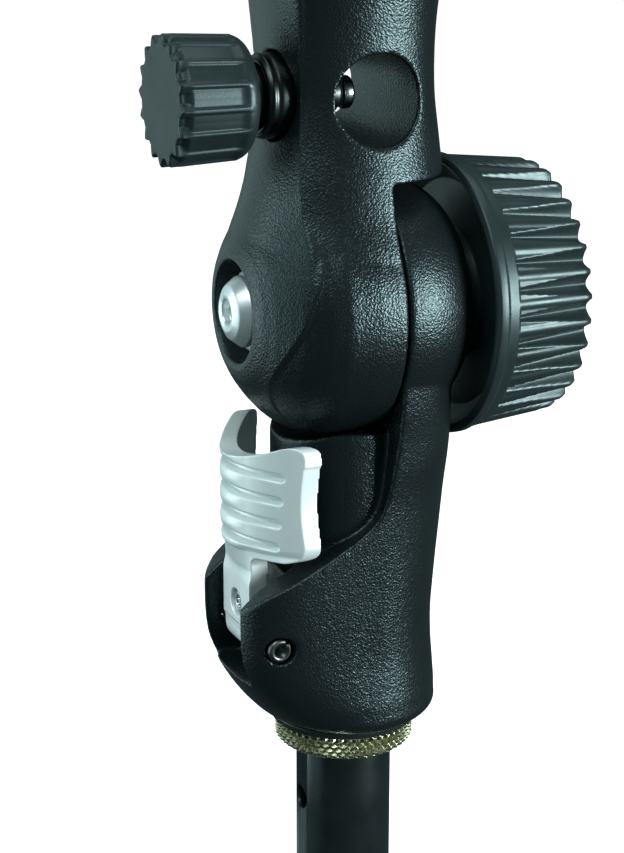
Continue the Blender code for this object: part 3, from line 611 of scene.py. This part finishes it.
def lever_skin():
    low = np.concatenate([np.linspace(23.0, 34.0, 16), np.linspace(34.2, LEVER_LOW - 0.04, 14)])
    rise = LEVER_LOW + LEVER_CORNER * (1 - np.cos(np.linspace(0, np.pi / 2, 18)))
    high = np.linspace(LEVER_LOW + LEVER_CORNER + 0.15, LEVER_SIDE_TOP, 88)
    rows = [(z, None) for z in np.concatenate([low, rise, high])]
    rows += [(LEVER_SIDE_TOP, t) for t in np.linspace(0.06, 1, 26)]
    columns = 150
    outer = []
    inner = []
    for z0, t in rows:
        for i in range(columns + 1):
            s = math.sin((-1 + 2 * i / columns) * 1.35) / math.sin(1.35)
            y, z = s * lever_half(z0), z0
            if t is not None:
                y = s * HALF
                z = z0 + (lever_top(y) - z0) * t
            dish = DISH * y * y * float(np.clip((z - 31.0) / 6.0, 0.0, 1.0))
            x = SPINE_X + dish + STEM_STEP * float(np.clip((38.0 - z) / 5.0, 0.0, 1.0))
            near = max(1 - (abs(y) / 5.2) ** 2, 0)
            phase = (z - GROOVES[0]) / (GROOVES[1] - GROOVES[0])
            bulge = 0.0
            if -0.5 < phase < 3.6:
                bulge = 0.38 * near * (0.5 - 0.5 * math.cos(2 * math.pi * phase))
            out = bulge - 1.2 * slot_mark(y, z)
            outer.append((x - out, y, z))
            inner.append((x + THICK, y, z))
    n_rows, n_cols = len(rows), columns + 1
    total = n_rows * n_cols
    faces = []
    for r in range(n_rows - 1):
        for i in range(columns):
            a = r * n_cols + i
            faces.append((a, a + n_cols, a + n_cols + 1, a + 1))
            faces.append((total + a, total + a + 1, total + a + n_cols + 1, total + a + n_cols))
        for i in (0, columns):
            a = r * n_cols + i
            faces.append((a, a + n_cols, total + a + n_cols, total + a))
    for r in (0, n_rows - 1):
        for i in range(columns):
            a = r * n_cols + i
            faces.append((a, a + 1, total + a + 1, total + a))
    lever = new_object("lever_skin", np.array(outer + inner) * MM, faces)
    boss = [(-19.1, 23.4), (-18.9, 20.0), (-18.0, 18.6), (-16.5, 18.2), (-15.0, 18.4),
            (-13.6, 19.1), (-12.5, 20.3), (-12.0, 21.9), (-12.2, 23.6), (-13.4, 25.6),
            (-15.2, 27.6), (-15.9, 30.0), (-16.0, 33.2), (-18.0, 33.2), (-19.1, 31.0)]
    combine(lever, [("UNION", prism("c1", bend(boss, 1.0, 3), "Y", -STEM + 0.04, STEM - 0.04))])
    combine(lever, [
        ("DIFFERENCE", rod("c2", "Y", (PIN_X, 0, PIN_Z), -12, 12, PIN_BORE_R, 64)),
        ("DIFFERENCE", rod("c3", "X", (0, 0, TENSION_Z), -30, -17.4, TENSION_BORE_R, 64)),
    ])
    cast(lever, VOXEL_LEVER, 2)
    return lever


dress(lever_skin(), NICKEL, "lever", "lever", "cam_lever")

tension = turned(
    "tension_skin",
    bend([(-17.6, 0), (-17.6, 1.8), (-17.8, 1.95), (-18.0, 1.5), (-18.2, 1.95), (-18.4, 1.5),
          (-18.6, 1.95), (-18.9, 1.7), (-18.9, 0.9), (-18.2, 0.8), (-18.2, 0)], 0.1, 2),
    "X", (0, 0, TENSION_Z), 64,
)
dress(tension, STEEL, "tension", "steel", "tension_screw")

# a slotted rolled pin, seen end on in its hole
pin = turned(
    "pin_skin",
    bend([(-12.4, 1.05), (-12.4, 1.7), (-12.0, 2.0), (12.0, 2.0), (12.4, 1.7), (12.4, 1.05)], 0.2),
    "Y", (PIN_X, 0, PIN_Z), 64, closed=True,
)
slit = prism("c", [(-0.35, 0.0), (0.35, 0.0), (0.35, 5), (-0.35, 5)], "Y", -20, 20)
slit.data.transform(
    Matrix.Translation((PIN_X * MM, 0, PIN_Z * MM)) @ Matrix.Rotation(math.radians(40), 4, "Y")
)
combine(pin, [("DIFFERENCE", slit)])
dress(pin, DARK_STEEL, "clamp_body", "steel", "lever_pin")

# ------------------------------------------------------------------ tilt bolt and washers
TILT = (0, 0, TILT_Z)
bolt = turned(
    "bolt_skin",
    bend([(-19.0, 0), (-19.0, 1.9), (-20.3, 2.0), (-20.6, 2.9), (-19.9, 4.3), (-18.2, 5.6),
          (-17.3, 5.7), (-17.2, 3.0), (25.4, 3.0), (26.0, 2.4), (26.0, 0)], 0.25),
    "X", TILT, 96,
)
dress(bolt, ZINC, "arm", "steel", "tilt_bolt")
dress(washer("spring_washer_skin", "X", TILT, -16.9, -15.9, 3.4, 6.4), ZINC, "arm", "steel",
      "spring_washer")
dress(washer("flat_washer_skin", "X", TILT, -15.6, -14.5, 3.4, 7.6), ZINC, "arm", "steel",
      "flat_washer")
dress(washer("thrust_washer_skin", "X", TILT, 15.9, 17.1, 3.4, 7.6), STEEL, "knob_washer",
      "steel", "thrust_washer")


# ------------------------------------------------------------------ tilt knob
RIBS = 32


def smooth_step(t):
    t = np.clip(t, 0, 1)
    return t * t * (3 - 2 * t)


def big_ribs(angle, along, radius):
    """Ribs with drafted walls; the pockets between them deepen to the outer end."""
    if along < 19.3 or radius < 17.5:
        return np.full_like(angle, radius)
    pitch = 2 * np.pi * radius / RIBS
    phase = (angle * RIBS / (2 * np.pi)) % 1.0
    from_crest = np.abs(phase - 0.5) * pitch
    reach = min((along - 19.3) / 14.0, 1.0)
    deepest = (0.7 + 1.5 * reach) * float(smooth_step((along - 19.3) / 0.6))
    from_valley = pitch / 2 - from_crest
    width = 0.42 + 1.25 * reach
    depth = deepest * np.clip(1 - (from_valley / width) ** 2, 0, 1) ** 0.9
    crown = 0.22 * np.minimum(from_crest / 0.8, 1.0) ** 2 * min(deepest * 2, 1.0)
    tip = max((along - 32.0) / 1.8, 0) ** 2 * 0.9
    return radius - depth - crown - tip * (1 - np.minimum(depth / 1.5, 1.0))


big_profile = bend([(17.5, 5.8), (17.5, 10.0), (18.8, 11.0), (18.8, 18.6), (15.3, 21.8),
                    (15.8, 22.9), (17.3, 22.9), (17.6, 22.4), (18.6, 22.38)], 0.35)
big_profile += [(float(x), 22.38 - 1.4 * (x - 18.6) / 14.4)
                for x in np.concatenate([np.linspace(18.7, 20.4, 18), np.linspace(20.7, 33.4, 54)])]
big_profile += bend([(33.5, 20.7), (33.8, 20.0), (33.8, 15.0), (32.2, 14.6), (32.2, 5.8)], 0.3)
tilt_knob = turned("tilt_knob_skin", big_profile, "X", TILT, RIBS * 24, closed=True, wave=big_ribs)
dress(tilt_knob, KNOB, "tilt_knob_body", "knob", "tilt_knob")
knob_cap = turned(
    "knob_cap_skin",
    bend([(32.5, 0), (32.5, 14.1), (33.2, 14.3), (33.8, 13.6), (33.8, 12.4), (33.3, 11.8),
          (33.3, 0)], 0.3),
    "X", TILT, 128,
)
dress(knob_cap, KNOB, "tilt_knob_body", "knob", "knob_cap")


# ------------------------------------------------------------------ clamp knob and screw
TEETH = 16
TEETH_PHASE = math.radians(3.4)
THREAD_PITCH = 0.75


def small_teeth(angle, along, radius):
    """Narrow rounded ridges between flat facets, cut deeper into points at the outer end."""
    if radius < 8.4 or along > -18.9:
        return np.full_like(angle, radius)
    phase = ((angle - TEETH_PHASE) * TEETH / (2 * np.pi) + 0.5) % 1.0
    away = np.abs(phase - 0.5) * 2
    start = float(smooth_step((-18.9 - along) / 2.2))
    finish = float(smooth_step((-28.6 - along) / 1.3))
    ridge = 1 - smooth_step((away - 0.10) / 0.24)
    point = np.clip(1 - away / 0.62, 0, 1) ** 0.85
    shallow = 0.42 * start * (1 - ridge) + 0.10 * start * np.clip(away - 0.35, 0, 1)
    deep = 1.35 * (1 - point)
    return radius - ((1 - finish) * shallow + finish * deep)


SCREW = (0, 0, HOLE_Z)
small_profile = [(-26.6, 0), (-26.6, 3.4), (-17.4, 3.4)]
small_profile += bend([(-17.4, 6.6), (-17.5, 8.0), (-18.3, 9.1), (-19.6, 9.6)], 0.8, 6)
small_profile += [(float(x), 9.6 + 0.5 * (-19.6 - x) / 10.6) for x in np.linspace(-19.8, -30.2, 48)]
small_profile += [(-30.42, 10.0), (-30.6, 9.75), (-30.6, 7.9), (-30.6, 7.6), (-30.6, 0)]
small_knob = turned("clamp_knob_skin", small_profile, "X", SCREW, TEETH * 28,
                    wave=small_teeth)
dress(small_knob, KNOB_SMALL, "clamp_knob_body", "knob", "clamp_knob")

thread = [(-26.2, 0), (-26.2, 2.9), (-17.1, 2.9), (-17.1, 4.4), (-16.8, 4.6), (-14.9, 4.6),
          (-14.6, 4.3), (-14.6, 2.9)]
for k in range(17):
    thread += [(-14.4 + THREAD_PITCH * k, 2.9), (-14.02 + THREAD_PITCH * k, 2.45)]
thread += [(-1.6, 2.3), (-1.5, 2.1), (-1.5, 0)]
screw = turned("clamp_screw_skin", thread, "X", SCREW, 64)
dress(screw, DARK_STEEL, "clamp_knob_body", "steel", "clamp_screw")

# threaded bush with a sleeve that fills the recess in the arm
bush_sleeve = turned(
    "screw_bush_skin",
    bend([(-6.9, 3.0), (-10.0, 3.0), (-10.0, 4.95), (-14.9, 4.95), (-15.4, 5.3), (-15.4, 6.0),
          (-14.6, 6.6), (-13.9, 6.35), (-13.3, 6.6), (-10.35, 6.6), (-10.35, 4.0), (-6.9, 4.0)],
         0.3),
    "X", SCREW, 96, closed=True,
)
dress(bush_sleeve, BUSH_BLACK, "arm", "brass", "screw_bush")

pad = turned(
    "nose_pad_skin",
    bend([(-1.2, 0), (-1.2, 2.3), (-0.9, 2.6), (0.1, 2.6), (0.5, 2.2), (0.5, 0)], 0.2),
    "X", SCREW, 64,
)
dress(pad, STEEL, "pad", "steel", "nose_pad")

# ------------------------------------------------------------------ accessory shoe
outline = [(-10.9, 0), (10.9, 0), (10.9, 4.7), (6.4, 4.7), (6.4, 3.5), (9.35, 3.5), (9.35, 1.2),
           (-9.35, 1.2), (-9.35, 3.5), (-6.4, 3.5), (-6.4, 4.7), (-10.9, 4.7)]
shoe = prism("shoe_plate_skin", [(a, SHOE_Z + b) for a, b in outline], "Y", -10.2, 10.2)
for n, (hx, hy) in enumerate(((-5.2, -6.2), (5.2, -6.2), (-5.2, 6.2), (5.2, 6.2)), 1):
    head = SHOE_Z + 1.2
    combine(shoe, [("DIFFERENCE", rod("c", "Z", (hx, hy, 0), 128, 140, 1.4, 48))])
    item = turned(
        f"shoe_screw_{n}_skin",
        bend([(129, 0), (129, 1.0), (head + 0.25, 1.0), (head + 0.25, 2.1), (head + 0.7, 2.1),
              (head + 1.05, 1.4), (head + 1.05, 0.75), (head + 0.6, 0.7), (head + 0.6, 0)], 0.15),
        "Z", (hx, hy, 0), 48,
    )
    dress(item, STEEL, "arm", "steel", f"shoe_screw_{n}")
mod = shoe.modifiers.new("b", "BEVEL")
mod.width = 0.22 * MM
mod.segments = 3
mod.limit_method = "ANGLE"
settle(shoe)
shoe.data.polygons.foreach_set("use_smooth", [False] * len(shoe.data.polygons))
dress(shoe, STEEL, "arm", "steel", "shoe_plate")

# ------------------------------------------------------------------ CAD nodes that stay
for node, mat in (("socket_upper_bush", BUSH), ("friction_disc", FIBRE), ("brake_shoe", NICKEL),
                  ("shoe_lining", LINING), ("knob_nut", BRASS)):
    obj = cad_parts[node]
    for item in obj.material_slots:
        item.material = mat

# ------------------------------------------------------------------ floor, light, camera
FLOOR_Z = -36.0 * MM
AMBIENT = 0.07
COOL = (0.86, 1.0, 1.0)
COOLER = (0.72, 1.0, 1.0)
LIGHT_AIM_Z = 75.0 * MM
SWEEP_START = 1.4
SWEEP_R = 0.8
stage_rows = [(-3.0, 0.0), (SWEEP_START, 0.0)]
for turn in np.linspace(0.05, math.pi / 2, 24):
    stage_rows.append((SWEEP_START + SWEEP_R * math.sin(turn), SWEEP_R - SWEEP_R * math.cos(turn)))
stage_rows.append((SWEEP_START + SWEEP_R, 4.0))
verts = []
faces = []
for y, z in stage_rows:
    verts += [(-4.0, y, FLOOR_Z + z), (4.0, y, FLOOR_Z + z)]
for k in range(len(stage_rows) - 1):
    faces.append((2 * k, 2 * k + 1, 2 * k + 3, 2 * k + 2))
floor = new_object("floor", verts, faces)
floor_mat, _, floor_shader, _ = shader_base("pale_floor", (0.9, 0.9, 0.9), 0.7, 0)
floor_shader.inputs["Emission Color"].default_value = (1, 1, 1, 1)
floor_shader.inputs["Emission Strength"].default_value = 0.95
floor_mat.cycles.emission_sampling = "NONE"
floor.data.materials.append(floor_mat)
floor.visible_glossy = False
floor.visible_diffuse = False
floor.visible_shadow = False

world = bpy.data.worlds.new("studio")
bpy.context.scene.world = world
world.use_nodes = True
world_tree = world.node_tree
dim = world_tree.nodes["Background"]
dim.inputs["Color"].default_value = (0.66, 1.0, 1.0, 1)
dim.inputs["Strength"].default_value = AMBIENT
plain_white = world_tree.nodes.new("ShaderNodeBackground")
plain_white.inputs["Color"].default_value = (1, 1, 1, 1)
path = world_tree.nodes.new("ShaderNodeLightPath")
choose = world_tree.nodes.new("ShaderNodeMixShader")
world_tree.links.new(path.outputs["Is Camera Ray"], choose.inputs["Fac"])
world_tree.links.new(dim.outputs[0], choose.inputs[1])
world_tree.links.new(plain_white.outputs[0], choose.inputs[2])
world_tree.links.new(choose.outputs[0], world_tree.nodes["World Output"].inputs["Surface"])
bpy.context.scene.view_settings.view_transform = "Standard"

# camera: heading and height angles in degrees, then metres, focal length in mm
CAMERA_HEADING = -23.533
CAMERA_HEIGHT = 16.152
CAMERA_DISTANCE = 0.32704
FOCAL_LENGTH = 84.834
AIM_SIDE = -0.005305
AIM_UP = 0.053896
az = math.radians(CAMERA_HEADING)
el = math.radians(CAMERA_HEIGHT)
back = Vector((math.sin(az) * math.cos(el), -math.cos(az) * math.cos(el), math.sin(el)))
right = Vector((math.cos(az), math.sin(az), 0))
up = back.cross(right)
aim = right * AIM_SIDE + Vector((0, 0, AIM_UP))


def soft_box(name, angle, distance, height, size_x, size_y, radiance, colour):
    """A soft box at an angle to the right of the camera, with a given brightness."""
    data = bpy.data.lights.new(name, "AREA")
    data.shape = "RECTANGLE"
    data.size = size_x
    data.size_y = size_y
    data.energy = radiance * math.pi * size_x * size_y
    data.color = colour
    obj = bpy.data.objects.new(name, data)
    bpy.context.scene.collection.objects.link(obj)
    flat = Vector((back.x, back.y, 0)).normalized()
    side = distance * math.sin(math.radians(angle))
    forward = distance * math.cos(math.radians(angle))
    obj.location = right * side + flat * forward + Vector((0, 0, height))
    goal = Vector((0, 0, LIGHT_AIM_Z))
    obj.rotation_euler = (goal - obj.location).to_track_quat("-Z", "Y").to_euler()
    return obj


# name, angle in degrees, distance, height, width, length (m), radiance, colour
soft_box("key_right", 62, 0.6, 0.115, 0.18, 0.20, 46.0, COOL)
soft_box("wall_left", -128, 0.85, 0.15, 1.0, 1.0, 0.5, COOLER)
soft_box("wall_front_left", -73, 0.85, 0.12, 0.6, 0.9, 0.9, COOLER)
soft_box("strip_left", -96, 0.6, 0.05, 0.16, 0.5, 3.6, COOL)
soft_box("front_high", -38, 0.5, 0.75, 0.5, 0.4, 5.0, COOL)
soft_box("overhead", 170, 0.15, 0.9, 0.7, 0.6, 1.6, COOL)

camera = bpy.data.cameras.new("camera")
camera.lens = FOCAL_LENGTH
camera.sensor_width = 36.0
camera.sensor_fit = "AUTO"
camera.clip_start = 0.01
camera_obj = bpy.data.objects.new("camera", camera)
bpy.context.scene.collection.objects.link(camera_obj)
place = aim + back * CAMERA_DISTANCE
camera_obj.matrix_world = Matrix((
    (right.x, up.x, back.x, place.x),
    (right.y, up.y, back.y, place.y),
    (right.z, up.z, back.z, place.z),
    (0, 0, 0, 1),
))
bpy.context.scene.camera = camera_obj
